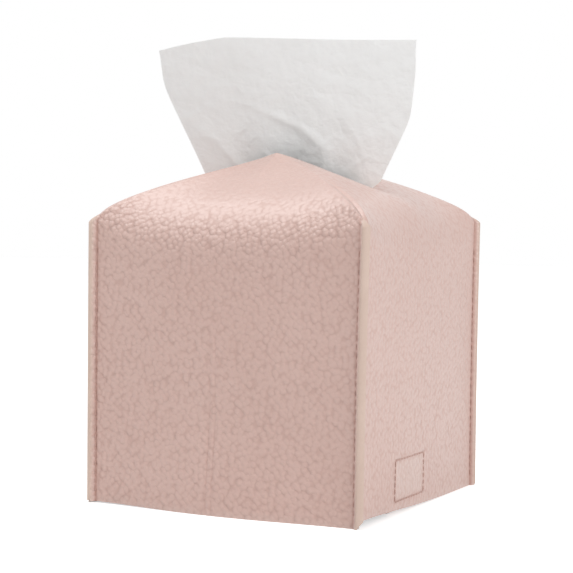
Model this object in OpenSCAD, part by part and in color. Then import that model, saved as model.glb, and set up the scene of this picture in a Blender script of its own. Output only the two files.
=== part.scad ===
// Soft leather cover for a cube tissue carton: a one-piece leather sheet with
// pinched corner seams, a lining, a tented roof with a pointed-oval slit, a
// bottom belt in two halves and the sheet of tissue that stands in the slit.
// The slit runs along X. The front wall faces -Y and the origin is the middle
// of the base.

/* [Cover] */
// Distance between the outer faces of two opposite walls
side = 125; // [113:1:140]
// Height of the soft fold in the middle of each wall, where the roof begins
fold_z = 104; // [90:1:112]
// Height at which the pinched corner seams end
seam_top_z = 118.5; // [114:0.5:128]
// Height of the two raised peaks of the slit
peak_z = 149.5; // [144:0.5:160]
// Drop of the slit's ends below its peaks
slit_drop = 16; // [10:0.5:20]
// Half length of the slit
slit_half_l = 40; // [32:1:46]
// Half width of the slit
slit_half_w = 14; // [9:1:18]
// Thickness of the leather
leather_t = 1.2; // [0.8:0.1:1.6]
// Thickness of the lining
lining_t = 0.9; // [0.5:0.1:1.4]
// How far a pinched seam stands out past the corner where the walls would meet
seam_out = 0.8; // [0.5:0.1:4]

/* [Seams] */
// Depth of the painted edge on the seams and round the slit
edging_t = 0.7; // [0.4:0.1:1.2]
// Length of one stitch
stitch_l = 2.5; // [1.5:0.1:3.5]
// Distance from one stitch to the next
stitch_pitch = 3.6; // [3:0.1:5]
// Radius of the sewing thread
thread_r = 0.3; // [0.2:0.05:0.45]

/* [Belt] */
// Width of the belt
belt_w = 32; // [20:1:45]
// Thickness of the belt
belt_t = 1.2; // [0.8:0.1:1.6]
// Distance of the belt's middle from the middle of the wall
belt_shift = 13; // [0:1:30]
// Height of the box-shaped seam that holds the belt on the wall
box_seam_h = 17; // [12:1:26]
// Distance of the box-shaped seam from the belt's edges
box_seam_inset = 1.4; // [1:0.1:3]
// Height of the box-shaped seam above the hem
box_seam_z = 4.8; // [2.5:0.1:8]
// How far each belt half runs past the middle
belt_lap = 22; // [12:1:30]
// Thickness of one hook or loop tape
tape_t = 0.8; // [0.5:0.1:1.2]

/* [Tissue] */
// Height of the top edge of the tissue
tissue_z = 202; // [185:1:215]
// Half width of the tissue at its top edge
tissue_half_w = 57; // [45:1:59]
// How much further out than that its left-hand edge ends, and its right-hand edge less far
tissue_lean = 3; // [0:1:6]
// How far the ends of the top edge swing forwards and backwards
tissue_swing = 16; // [0:1:24]
// Ease between the gathered tail and each end of the slit
tail_ease = 1.4; // [0.8:0.1:6]
// Height of the lowest end of the tail
tail_z = 119; // [116:1:124]
// Thickness of the doubled tissue
tissue_t = 0.9; // [0.5:0.1:1.2]

/* [Hidden] */

leather_colour = [0.89, 0.73, 0.70];
lining_colour = [0.80, 0.72, 0.66];
edging_colour = [0.88, 0.78, 0.70];
thread_colour = [0.80, 0.60, 0.56];
belt_colour = [0.86, 0.70, 0.67];
tape_colour = [0.93, 0.90, 0.88];
tissue_colour = [0.96, 0.96, 0.95];

// Gap between two sewn or glued layers, and between pieces that lie together
layer_gap = 0.1;
// Height of the lining and of the trim above the hem
hem_lift = 0.5;
// Clearance of pieces that move past each other
run_gap = 0.3;
// Round bend of the leather where a wall turns out into its seam
crease_r = 0.8;
crease_mid_share = 0.35;

// The corner seams lie on the diagonals of the square plan
root2 = sqrt(2);
diagonal = 45;
half = side / 2;
lining_d = leather_t + layer_gap;
wall_t = lining_d + lining_t;
// Half thickness of a pinched seam: both layers of one wall and half the middle gap
seam_half_t = wall_t + layer_gap;
seam_tip_r = half * root2 + seam_out;
// Distance of the stitches from the root of a seam, as a share of the way to its tip
stitch_line_share = 0.4;

// Columns of one wall from its middle to its seam, as shares of its flat half width
column_shares = [0, 0.2, 0.4, 0.58, 0.74, 0.87, 0.96];
flat_columns = len(column_shares);
// After the flat columns come the crease and the tip of the seam
half_columns = flat_columns + 1;
columns = 2 * half_columns;
// Where each column ends on the slit, as shares of the way from peak to peak
slit_shares = [0, 0.2, 0.39, 0.56, 0.71, 0.84, 0.92, 0.96, 1];

wall_shares = [0, 0.35, 0.7, 1];
wall_rows = len(wall_shares) - 1;
roof_rows = 12;
rows = wall_rows + roof_rows;
// How far the pinched seam still stands out in the first rows of the roof
pinch_shares = [1, 0.5];
dart_row = wall_rows + len(pinch_shares);

// How far a hip leans in as it leaves the end of its seam
hip_lean = 4.5;
// How steeply the roof leaves the walls, as shares of its rise to the peaks
wall_rise_share = 0.53;
hip_rise_share = 0.383;
// Where the roof's curves turn towards the slit, as shares of the way out to the wall
front_reach_share = 0.55;
side_reach_share = 0.5;
hip_reach_share = 0.52;
// How far they have then fallen, as shares of the drop from the slit to the fold
front_fall_share = 0.85;
side_fall_share = 0.3;
hip_fall_share = 0.55;
// How much less than the leather's depth the lower layers sink in the roof's curves
second_depth_share = 0.75;
third_depth_share = 0.96;
// Half width of the narrow top of a front or back roof panel
peak_half_share = 0.15;
peak_half_w = slit_half_l * peak_half_share;
// The slit's edge: how it falls to the ends, how it bows at the peaks, and how its sides curve
lip_fall_power = 1.2;
lip_bow_share = 0.03;
lip_side_power = 1.35;

function side_of(i) = i < half_columns ? -1 : 1;
function step_of(i) = abs(i - half_columns);

// Half width of the flat part of a wall, for a face that lies d below the leather
function flat_half(d) = half - root2 * seam_half_t + (root2 - 1) * d;
// Shares 0 at the middle of a wall and 1 at its seam
function wall_share(k) = k < flat_columns ? column_shares[k] : 1;

// Plan position [along the wall, outwards] of column k in the upright wall
function foot(k, d, pinch) =
    let (crease = 2 * crease_r * tan(diagonal / 2),
         root = [flat_half(d), half - d],
         out = [1, 1] / root2,
         reach = (seam_tip_r - (half - d) * root2 + (seam_half_t - d)))
    k < flat_columns ? [column_shares[k] * (root[0] - crease), root[1]]
    : k == flat_columns ? root + crease * crease_mid_share * (out * pinch - [1, 0])
    : let (closed = [half - d, half - d]) closed + (root + out * reach - closed) * pinch;

// Height of the slit's edge at distance x from the middle
function slit_z(x) = peak_z - slit_drop * pow(abs(x) / slit_half_l, lip_fall_power);

// Plan position of the slit's edge for column k: even panels carry the peaks
function slit_plan(j, k) =
    let (w = slit_shares[k])
    j % 2 == 0 ? [peak_half_w * w, slit_half_w * (1 + lip_bow_share * (1 - w * w))]
               : [slit_half_w * w, peak_half_w + (slit_half_l - peak_half_w) * (1 - pow(w, lip_side_power))];

// The four control points of column k: [along, outwards, height]
function controls(j, k, d, pinch) =
    let (s = wall_share(k),
         corner = pow(s, 3),
         base = foot(k, d, pinch),
         lip = slit_plan(j, k),
         lip_x = j % 2 == 0 ? lip[0] : lip[1],
         lip_z = slit_z(lip_x),
         z0 = fold_z + (seam_top_z - fold_z) * corner,
         rise = (peak_z - fold_z) * wall_rise_share * (1 - corner)
                + (peak_z - seam_top_z) * hip_rise_share * corner,
         mid_share = (j % 2 == 0 ? front_reach_share : side_reach_share) * (1 - corner)
                     + hip_reach_share * corner,
         fall_share = (j % 2 == 0 ? front_fall_share : side_fall_share) * (1 - corner)
                      + hip_fall_share * corner,
         mid = lip + (base - lip) * mid_share,
         mid_z = lip_z - (lip_z - z0 - rise) * fall_share)
    [[base[0], base[1], z0],
     [base[0] - hip_lean * corner, base[1] - hip_lean * corner, z0 + rise - d * second_depth_share],
     [mid[0], mid[1], mid_z - d * third_depth_share],
     [lip[0], lip[1], lip_z - d]];

function cubic(c, t) =
    c[0] * pow(1 - t, 3) + c[1] * 3 * t * pow(1 - t, 2) + c[2] * 3 * t * t * (1 - t) + c[3] * pow(t, 3);

// Point of wall j in row r and column i, d below the outer face of the leather
function local_point(j, r, i, d, hem_z) =
    let (k = step_of(i),
         pinch = r <= wall_rows ? 1 : (r < dart_row ? pinch_shares[r - wall_rows] : 0),
         c = controls(j, k, d, pinch),
         t = max(0, r - wall_rows) / roof_rows,
         p = r < wall_rows ? [c[0][0], c[0][1], hem_z + (c[0][2] - hem_z) * wall_shares[r]] : cubic(c, t))
    [side_of(i) * p[0], p[1], p[2]];

// Turns a wall's own frame to its place: wall 0 is the front, 1 the right one
function placed(j, p) =
    let (a = 90 * j, x = p[0], y = -p[1])
    [x * cos(a) - y * sin(a), x * sin(a) + y * cos(a), p[2]];

function sheet_point(j, r, i, d, hem_z) = placed(j, local_point(j, r, i, d, hem_z));

// One sheet that covers the four walls and the roof, between two depths
module sheet(d_out, d_in, hem_z) {
    per_row = 4 * (columns + 1);
    layer = per_row * (rows + 1);
    function at(j, r, i, s) =
        (r >= dart_row && i == columns) ? at((j + 1) % 4, r, 0, s)
                                        : s * layer + r * per_row + j * (columns + 1) + i;
    points = [for (s = [0, 1], r = [0:rows], j = [0:3], i = [0:columns])
              sheet_point(j, r, i, s == 0 ? d_out : d_in, hem_z)];
    skin = [for (j = [0:3], r = [0:rows - 1], i = [0:columns - 1])
            each [[at(j, r, i, 0), at(j, r + 1, i, 0), at(j, r + 1, i + 1, 0)],
                  [at(j, r, i, 0), at(j, r + 1, i + 1, 0), at(j, r, i + 1, 0)],
                  [at(j, r, i, 1), at(j, r + 1, i + 1, 1), at(j, r + 1, i, 1)],
                  [at(j, r, i, 1), at(j, r, i + 1, 1), at(j, r + 1, i + 1, 1)]]];
    hem_and_lip = [for (j = [0:3], i = [0:columns - 1])
            each [[at(j, 0, i, 0), at(j, 0, i + 1, 0), at(j, 0, i + 1, 1)],
                  [at(j, 0, i, 0), at(j, 0, i + 1, 1), at(j, 0, i, 1)],
                  [at(j, rows, i, 0), at(j, rows, i + 1, 1), at(j, rows, i + 1, 0)],
                  [at(j, rows, i, 0), at(j, rows, i, 1), at(j, rows, i + 1, 1)]]];
    sides = [for (j = [0:3], r = [0:dart_row - 1])
            each [[at(j, r, 0, 0), at(j, r, 0, 1), at(j, r + 1, 0, 1)],
                  [at(j, r, 0, 0), at(j, r + 1, 0, 1), at(j, r + 1, 0, 0)],
                  [at(j, r, columns, 0), at(j, r + 1, columns, 1), at(j, r, columns, 1)],
                  [at(j, r, columns, 0), at(j, r + 1, columns, 0), at(j, r + 1, columns, 1)]]];
    polyhedron(points, concat(skin, hem_and_lip, sides), convexity = 8);
}

module outer_leather() {
    color(leather_colour) sheet(0, leather_t, 0);
}

module lining() {
    color(lining_colour) sheet(lining_d, wall_t, hem_lift);
}

function unit(v) = v / norm(v);

// A bead swept through rings of points: each ring has the same count of points
module swept(rings, closed = false) {
    n = len(rings);
    m = len(rings[0]);
    spans = closed ? n : n - 1;
    sides = [for (a = [0:spans - 1], b = [0:m - 1])
             let (c = (a + 1) % n, e = (b + 1) % m)
             each [[a * m + b, a * m + e, c * m + e], [a * m + b, c * m + e, c * m + b]]];
    ends = closed ? [] : [[for (b = [m - 1:-1:0]) b], [for (b = [0:m - 1]) (n - 1) * m + b]];
    polyhedron([for (ring = rings) each ring], concat(sides, ends), convexity = 6);
}

// Rounded edge paint: a flat base of width 2 x |half_width| and a crown of depth edging_t
bead_across_shares = [-1, -0.8, -0.35, 0.35, 0.8, 1];
bead_rise_shares = [0, 0.6, 1, 1, 0.6, 0];
function bead_ring(centre, half_width, out) =
    [for (q = [0:len(bead_across_shares) - 1])
     centre + half_width * bead_across_shares[q]
            + out * (layer_gap + edging_t * bead_rise_shares[q])];

module opening_edging() {
    rings = [for (j = [0:3], i = [0:columns - 1])
        let (top = sheet_point(j, rows, i, 0, 0),
             low = sheet_point(j, rows, i, wall_t, 0),
             prev = i > 0 ? sheet_point(j, rows, i - 1, 0, 0)
                          : sheet_point((j + 3) % 4, rows, columns - 1, 0, 0),
             next = i < columns - 1 ? sheet_point(j, rows, i + 1, 0, 0)
                                    : sheet_point((j + 1) % 4, rows, 0, 0, 0),
             inward = unit(cross([0, 0, 1], next - prev)))
        bead_ring((top + low) / 2, (low - top) / 2, inward)];
    color(edging_colour) swept(rings, closed = true);
}

// Edge paint on the tips of the two walls that meet in corner j
module corner_edging(j) {
    out = placed(j, [1, 1, 0]) / root2;
    rings = [for (r = [0:wall_rows + 1])
        let (a = sheet_point(j, r, columns, 0, hem_lift),
             b = sheet_point((j + 1) % 4, r, 0, 0, hem_lift))
        bead_ring((a + b) / 2, (b - a) / 2, out)];
    color(edging_colour) swept(rings);
}

// One row of running stitches, each a short round bar along Z
module stitch_column(from_z, to_z) {
    count = floor((to_z - from_z) / stitch_pitch);
    for (q = [0:count - 1])
        translate([0, 0, from_z + q * stitch_pitch])
            cylinder(r = thread_r, h = stitch_l, $fn = 16);
}

// Stitches on both sides of the pinched seam in corner j
module corner_stitching(j) {
    seam_root_r = half * root2 - seam_half_t;
    seam_line_r = seam_root_r + (seam_tip_r - seam_root_r) * stitch_line_share;
    color(thread_colour)
        rotate([0, 0, 90 * j - diagonal])
            for (face = [-1, 1])
                translate([seam_line_r, face * (seam_half_t + layer_gap + thread_r), 0])
                    stitch_column(box_seam_z, seam_top_z - 3 * stitch_l);
}

// Levels of the belt, from the hem up: the outer half lies under the inner one
belt_outer_z = hem_lift;
belt_inner_z = belt_outer_z + belt_t + 2 * tape_t + layer_gap * 4;
inner_face = half - wall_t;
tab_t = belt_t;
// Distance from the middle of the cover to the fold of a belt half
belt_fold_x = inner_face - layer_gap - tab_t - 3 * run_gap - belt_t / 2;
belt_foot_l = 2 * run_gap;
// Round corners of a belt half's free end
belt_round_share = 0.25;

// A belt end sewn inside the right wall, with a short foot that the belt folds from
module belt_tab(level) {
    outer_x = inner_face - layer_gap;
    translate([0, -belt_shift, 0]) {
        translate([outer_x - tab_t, -belt_w / 2, level])
            cube([tab_t, belt_w, box_seam_z + box_seam_h + box_seam_inset - belt_outer_z]);
        translate([outer_x - tab_t - belt_foot_l, -belt_w / 2, level])
            cube([belt_foot_l, belt_w, belt_t]);
    }
}

module belt_tab_right() {
    color(belt_colour) belt_tab(belt_outer_z);
}

module belt_tab_left() {
    color(belt_colour) mirror([1, 0, 0]) belt_tab(belt_inner_z);
}

// The seam that shows outside the right wall as a stitched oblong
module box_stitching(level) {
    w = belt_w - 2 * box_seam_inset;
    low = box_seam_z + level - belt_outer_z;
    x = half + layer_gap + thread_r;
    across = floor(w / stitch_pitch);
    up = floor(box_seam_h / stitch_pitch);
    translate([x, -belt_shift, low]) {
        for (z = [0, box_seam_h], q = [0:across - 1])
            translate([0, -w / 2 + (q + 0.5) * w / across - stitch_l / 2, z])
                rotate([-90, 0, 0])
                    cylinder(r = thread_r, h = stitch_l, $fn = 16);
        for (y = [-w / 2, w / 2], q = [0:up - 1])
            translate([0, y, (q + 0.5) * box_seam_h / up - stitch_l / 2])
                cylinder(r = thread_r, h = stitch_l, $fn = 16);
    }
}

module box_stitching_right() {
    color(thread_colour) box_stitching(belt_outer_z);
}

module box_stitching_left() {
    color(thread_colour) mirror([1, 0, 0]) box_stitching(belt_inner_z);
}

// One half of the belt: a flat strap with a round fold at the right wall
module belt_half(level) {
    far_r = belt_w * belt_round_share;
    translate([0, -belt_shift, level]) {
        translate([belt_fold_x, belt_w / 2, belt_t / 2])
            rotate([90, 0, 0]) cylinder(d = belt_t, h = belt_w, $fn = 24);
        linear_extrude(belt_t)
            union() {
                translate([-belt_lap + far_r, -belt_w / 2])
                    square([belt_fold_x + belt_lap - far_r, belt_w]);
                translate([-belt_lap, -belt_w / 2 + far_r])
                    square([far_r * 2, belt_w - 2 * far_r]);
                for (y = [-1, 1])
                    translate([-belt_lap + far_r, y * (belt_w / 2 - far_r)])
                        circle(r = far_r, $fn = 32);
            }
    }
}

module belt_outer_half() {
    color(belt_colour) belt_half(belt_outer_z);
}

module belt_inner_half() {
    color(belt_colour) mirror([1, 0, 0]) belt_half(belt_inner_z);
}

// A tape sewn on the lapped end of a belt half
module tape(level) {
    inset = 2 * box_seam_inset;
    translate([-belt_lap + inset, -belt_shift - belt_w / 2 + inset, level])
        cube([2 * (belt_lap - inset), belt_w - 2 * inset, tape_t]);
}

module loop_tape() {
    color(tape_colour) tape(belt_outer_z + belt_t + layer_gap);
}

module hook_tape() {
    color(tape_colour) tape(belt_inner_z - layer_gap - tape_t);
}

// The sheet of tissue: gathered in the slit and fanned out above it
tissue_columns = 30;

// Half width of the tail, and how far up the tissue the slit's ends are
tail_half_w = slit_half_l - layer_gap - edging_t - tail_ease;
slit_level_share = (peak_z - slit_drop - tail_z) / (tissue_z - tail_z);
// Rows of the tissue: those of its tail, then those of its fan, as shares of the way up each
tail_row_shares = [0, 0.5];
fan_row_shares = [0, 0.06, 0.13, 0.2, 0.28, 0.36, 0.45, 0.54, 0.63, 0.72, 0.81, 0.89, 0.95, 1];
tissue_v = concat(tail_row_shares * slit_level_share,
                  [for (share = fan_row_shares) slit_level_share + share * (1 - slit_level_share)]);
tissue_rows = len(tissue_v) - 1;
// How soon the left-hand and the right-hand edge run out to their full width
left_run_power = 1.6;
right_run_power = 4.2;
// Dip of the corners of the tissue's top edge, which falls late on the left and evenly on the right
top_dip = 3.2;
left_dip_power = 4;
right_dip_power = 1.2;
// Folds gathered in the slit: their depth, how many there are, and how they slant and die out
gather_depth_share = 0.15;
gather_depth = slit_half_w * gather_depth_share;
gather_count = 1.9;
gather_start_share = 0.1;
gather_slant_share = 0.35;
gather_left_share = 0.3;
// The top edge swings about a point right of the middle, with a slow curve, and the slit holds it
swing_power = 1.3;
swing_middle_share = 0.2;
swing_curve_share = 0.18;
// Two long folds: a curved one to the right and a slanting one to the left
long_fold_depth = 2.2;
long_fold_w_share = 0.13;
right_fold_shares = [0.38, 6.3, 0.3];
left_fold_shares = [-0.6, 1.35, 0.345];
fold_top_share = 0.72;
fold_fade_share = 0.3;

function run_out(top_half_w, open, power) =
    tail_half_w + (top_half_w - tail_half_w) * (1 - pow(1 - open, power));
function smooth(x) = let (t = min(1, max(0, x))) t * t * (3 - 2 * t);
function ridge(distance) = exp(-pow(distance / long_fold_w_share, 2));

// Middle surface of the tissue at u from -1 to 1 across and v from 0 to 1 up
function tissue_mid(u, v) =
    let (open = min(1, max(0, (v - slit_level_share) / (1 - slit_level_share))),
         left = run_out(tissue_half_w + tissue_lean, open, left_run_power),
         right = run_out(tissue_half_w - tissue_lean, open, right_run_power),
         wide = left + (right - left) * smooth((u + 1) / 2),
         top = tissue_z - top_dip * pow(abs(u), u < 0 ? left_dip_power : right_dip_power),
         inside = 1 - pow(abs(u), 3),
         gather = gather_depth * (gather_left_share + (1 - gather_left_share) * (1 - smooth(open)))
                  * sin(360 * (gather_count * u + gather_start_share + gather_slant_share * open)),
         right_line = right_fold_shares[0] - right_fold_shares[1] * pow(v - right_fold_shares[2], 2),
         left_line = left_fold_shares[0] - left_fold_shares[1] * (v - left_fold_shares[2]),
         long_folds = long_fold_depth * smooth((fold_top_share - v) / fold_fade_share)
                      * (ridge(u - right_line) + ridge(u - left_line)),
         swing = tissue_swing * pow(open, swing_power)
                 * (u - swing_middle_share + swing_curve_share * sin(180 * u)))
    [wide * u, (gather - long_folds) * inside + swing, tail_z + (top - tail_z) * v];

function tissue_normal(u, v) =
    let (e = 0.01,
         du = tissue_mid(u + e, v) - tissue_mid(u - e, v),
         dv = tissue_mid(u, v + e) - tissue_mid(u, v - e))
    unit(cross(du, dv));

module tissue() {
    per_row = tissue_columns + 1;
    layer = per_row * (tissue_rows + 1);
    function at(r, i, s) = s * layer + r * per_row + i;
    points = [for (s = [-1, 1], r = [0:tissue_rows], i = [0:tissue_columns])
        let (u = 2 * i / tissue_columns - 1, v = tissue_v[r])
        tissue_mid(u, v) + tissue_normal(u, v) * s * tissue_t / 2];
    skin = [for (r = [0:tissue_rows - 1], i = [0:tissue_columns - 1])
        each [[at(r, i, 0), at(r + 1, i + 1, 0), at(r, i + 1, 0)],
              [at(r, i, 0), at(r + 1, i, 0), at(r + 1, i + 1, 0)],
              [at(r, i, 1), at(r, i + 1, 1), at(r + 1, i + 1, 1)],
              [at(r, i, 1), at(r + 1, i + 1, 1), at(r + 1, i, 1)]]];
    ends = [for (i = [0:tissue_columns - 1])
        each [[at(0, i, 0), at(0, i + 1, 0), at(0, i + 1, 1)],
              [at(0, i, 0), at(0, i + 1, 1), at(0, i, 1)],
              [at(tissue_rows, i, 0), at(tissue_rows, i + 1, 1), at(tissue_rows, i + 1, 0)],
              [at(tissue_rows, i, 0), at(tissue_rows, i, 1), at(tissue_rows, i + 1, 1)]]];
    flanks = [for (r = [0:tissue_rows - 1])
        each [[at(r, 0, 0), at(r, 0, 1), at(r + 1, 0, 1)],
              [at(r, 0, 0), at(r + 1, 0, 1), at(r + 1, 0, 0)],
              [at(r, tissue_columns, 0), at(r + 1, tissue_columns, 1), at(r, tissue_columns, 1)],
              [at(r, tissue_columns, 0), at(r + 1, tissue_columns, 0), at(r + 1, tissue_columns, 1)]]];
    color(tissue_colour) polyhedron(points, concat(skin, ends, flanks), convexity = 8);
}

outer_leather();
lining();
opening_edging();
corner_edging(0);  // corner_edging_front_right
corner_edging(1);  // corner_edging_back_right
corner_edging(2);  // corner_edging_back_left
corner_edging(3);  // corner_edging_front_left
corner_stitching(0);  // corner_stitching_front_right
corner_stitching(1);  // corner_stitching_back_right
corner_stitching(2);  // corner_stitching_back_left
corner_stitching(3);  // corner_stitching_front_left
belt_tab_right();
belt_tab_left();
box_stitching_right();
box_stitching_left();
belt_outer_half();
belt_inner_half();
loop_tape();
hook_tape();
tissue();
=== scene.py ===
import bpy
import numpy as np
from mathutils import Matrix, Vector


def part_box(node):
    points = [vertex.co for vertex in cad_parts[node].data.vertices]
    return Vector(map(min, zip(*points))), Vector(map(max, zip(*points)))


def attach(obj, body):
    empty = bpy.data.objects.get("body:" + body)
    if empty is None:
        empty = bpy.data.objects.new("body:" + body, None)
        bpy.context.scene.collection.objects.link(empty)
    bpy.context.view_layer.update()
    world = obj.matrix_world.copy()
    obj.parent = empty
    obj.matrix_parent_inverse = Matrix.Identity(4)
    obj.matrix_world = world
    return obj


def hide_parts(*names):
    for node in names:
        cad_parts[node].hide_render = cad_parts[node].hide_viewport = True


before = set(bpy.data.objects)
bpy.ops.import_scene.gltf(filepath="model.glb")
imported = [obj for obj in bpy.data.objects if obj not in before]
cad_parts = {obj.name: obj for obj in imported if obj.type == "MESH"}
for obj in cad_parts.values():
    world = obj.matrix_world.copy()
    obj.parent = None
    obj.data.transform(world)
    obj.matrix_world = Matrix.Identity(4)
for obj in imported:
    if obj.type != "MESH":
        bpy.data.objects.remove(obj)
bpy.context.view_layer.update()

mm = 0.001

# The camera stands off the near corner, level with the upper part of the seams,
# and looks slightly down through a long lens with no shift. The focal length is given
# in pixels of the square picture.
picture_px = 573
focal_px = 1512.5
sensor_w = 36
camera_place = Vector((301.64, -595.12, 112.37)) * mm
camera_yaw, camera_pitch, camera_roll = np.radians([-27.034, -1.794, 0.484])


def camera_turn(yaw, pitch, roll):
    """The camera's axes as a matrix: yaw from +Y, pitch above level, and roll about its line of sight."""
    ahead = Vector((np.cos(pitch) * np.sin(yaw), np.cos(pitch) * np.cos(yaw), np.sin(pitch)))
    level = Vector((np.cos(yaw), -np.sin(yaw), 0))
    upright = level.cross(ahead)
    right = level * np.cos(roll) + upright * np.sin(roll)
    up = upright * np.cos(roll) - level * np.sin(roll)
    return Matrix((right, up, -ahead)).transposed()


lens_data = bpy.data.cameras.new("camera")
lens_data.sensor_width = sensor_w
lens_data.lens = focal_px * sensor_w / picture_px
lens_data.clip_start = 0.05
lens_data.clip_end = 50
camera = bpy.data.objects.new("camera", lens_data)
camera.matrix_world = Matrix.Translation(camera_place) @ camera_turn(
    camera_yaw, camera_pitch, camera_roll).to_4x4()
bpy.context.scene.collection.objects.link(camera)
bpy.context.scene.camera = camera

# The outer leather is one sheet of pale pink pebbled leather that makes the four
# walls and the roof. It is pinched at each corner and sewn there, with the raw
# edges outside, and the darts run out into the roof, which rises to the slit.
leather_t = 1.2 * mm
lining_t = 0.9 * mm
layer_gap = 0.1 * mm
hem_lift = 0.5 * mm
seam_out = 0.8 * mm
crease_r = 0.6 * mm
lining_d = leather_t + layer_gap
wall_t = lining_d + lining_t
seam_half_t = wall_t + layer_gap
skived_share = 0.7
root2 = np.sqrt(2)

sheet_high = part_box("outer_leather")[1]
slit_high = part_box("opening_edging")[1]
peak_z = sheet_high.z
half = sheet_high.x - (seam_out + seam_half_t) / root2
seam_tip_r = half * root2 + seam_out
fold_z = 104 * mm
slit_drop = 16 * mm
slit_half_l = slit_high.x
slit_half_w = 14 * mm
# The slit's edge: half the width of its flat peaks, how much it bows out at them, how
# full its pointed ends are, and how its height falls off along it
peak_half_w = 0.15 * slit_half_l
lip_bow, lip_fullness, lip_fall = 0.03, 1.35, 1.2
# How far along its stretch of the slit's edge a wall's last flat column ends
lip_share = 0.958

hip_lean = 5.4 * mm
wall_rise_share = 0.53
front_reach_share, side_reach_share = 0.55, 0.5
front_fall_share, side_fall_share, hip_fall_share = 0.85, 0.3, 0.55
# At each corner, from the near one round to the left-hand one: the height of
# the seam's root, how much lower its tip ends, and how full the hip is there
seam_top_zs = np.array([118.6, 121.3, 120.5, 119.9]) * mm
tip_drops = np.array([1.6, 0.9, 0.5, 1.1]) * mm
hip_rise_shares = [0.41, 0.41, 0.43, 0.455]
hip_reach_shares = [0.42, 0.405, 0.37, 0.34]
second_depth_share, third_depth_share = 0.75, 0.96

# How far up the roof a pinched seam still stands out, as a share of the way to
# the slit
dart_share = 0.10
# Round edge of the hips: at the seam's top, and where the roof has opened out
hip_round_low, hip_round_high = 0.5 * mm, 10 * mm
hip_round_share = 0.45

# Storage marks: two shallow upright grooves near the middle of the front and back
# walls; every wall swells a little between the seams and rolls in slow waves
groove_off, groove_apart, groove_w, groove_depth = -3.6 * mm, 1.4 * mm, 0.5 * mm, 0.42 * mm
groove_full_share, groove_fade_share = 0.2, 0.75
wall_swell, wall_wave = 0.5 * mm, 0.14 * mm
# Where the hem lifts beside a seam: the wall, its left or right end, the height and
# the share of the half wall that lifts; and how far each wall's hem bows out
hem_lifts = [(1, -1, 2.7 * mm, 0.9), (0, -1, 0.6 * mm, 0.5), (2, 1, 0.9 * mm, 0.5), (3, -1, 0.8 * mm, 0.5)]
hem_lift_reach = 26 * mm
hem_bows, hem_bow_reach = np.array([3.6, 0.0, 1.0, 0.4]) * mm, 45 * mm
# How far each seam sways sideways at its top and at its hem, and which way: across
# the line from the near corner to the far one
sways_top = np.array([1.3, 0.9, 0.0, 0.2]) * mm
sways_hem = np.array([-0.45, 0.0, 0.0, 0.0]) * mm
sway_way = np.array([0.89, 0.45, 0.0])
sway_share = 0.4


def ease(x):
    """0 below 0, 1 above 1, and a smooth step between."""
    t = np.clip(x, 0, 1)
    return t * t * (3 - 2 * t)


def bump_at(x, middle, width):
    """A smooth hump of height 1 about the middle."""
    return np.exp(-((x - middle) / width) ** 2)


def mixed(middle, hip, corner):
    """A value that goes from the middle of a wall to the hip at its end."""
    return middle + (hip - middle) * corner


def sheet_columns(flat_cuts, arc_steps, flange_steps):
    """Across half a wall, column by column: the shares of the flat half width, the crease and the flange."""
    flat = np.array(flat_cuts, float)
    share = np.concatenate([flat, np.ones(arc_steps + flange_steps)])
    turn = np.concatenate([np.zeros(len(flat)), np.linspace(0, 1, arc_steps + 1)[1:], np.ones(flange_steps)])
    reach = np.concatenate([np.zeros(len(flat) + arc_steps), np.linspace(0, 1, flange_steps + 1)[1:]])
    return share, turn, reach


def both_halves(left, right):
    """The columns of a whole wall from those of its two halves, each starting at the wall's middle."""
    return np.concatenate([left[..., ::-1], right[..., 1:]], -1)


def wall_plan(share, turn, reach, depth, pinch, hip_round):
    """Plan of half a wall, along it and outwards from the middle: a straight run, an arc of 45 degrees and a
    straight flange, skived thinner, where the seam is pinched; a square corner with a round edge where it is
    open; pinch mixes the two."""
    face = half - depth
    off_seam = (seam_half_t - depth) * skived_share
    tangent = crease_r * np.tan(np.pi / 8)
    flat_end = face - root2 * off_seam - tangent
    angle = turn * np.pi / 4
    flange = (seam_tip_r - root2 * face + off_seam - tangent) / root2
    x = share * flat_end + crease_r * np.sin(angle) + flange * reach
    y = face + crease_r * (1 - np.cos(angle)) + flange * reach
    leg = (face - share * flat_end) * (1 - (turn + reach) / 2)
    radius = np.maximum(hip_round - depth, 0.5 * mm)
    bend = np.clip(1 - leg / radius, 0, 1) * np.pi / 4
    open_x = np.where(leg < radius, face - radius + radius * np.sin(bend), face - leg)
    open_y = np.where(leg < radius, face - radius * (1 - np.cos(bend)), face)
    return open_x + (x - open_x) * pinch, open_y + (y - open_y) * pinch


def slit_edge(wall, share):
    """Plan of the slit's edge from a wall's side, along it and outwards. Front and back have flat peaks."""
    if wall % 2 == 0:
        return peak_half_w * share, slit_half_w * (1 + lip_bow * (1 - share ** 2))
    return slit_half_w * share, peak_half_w + (slit_half_l - peak_half_w) * (1 - share ** lip_fullness)


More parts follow.
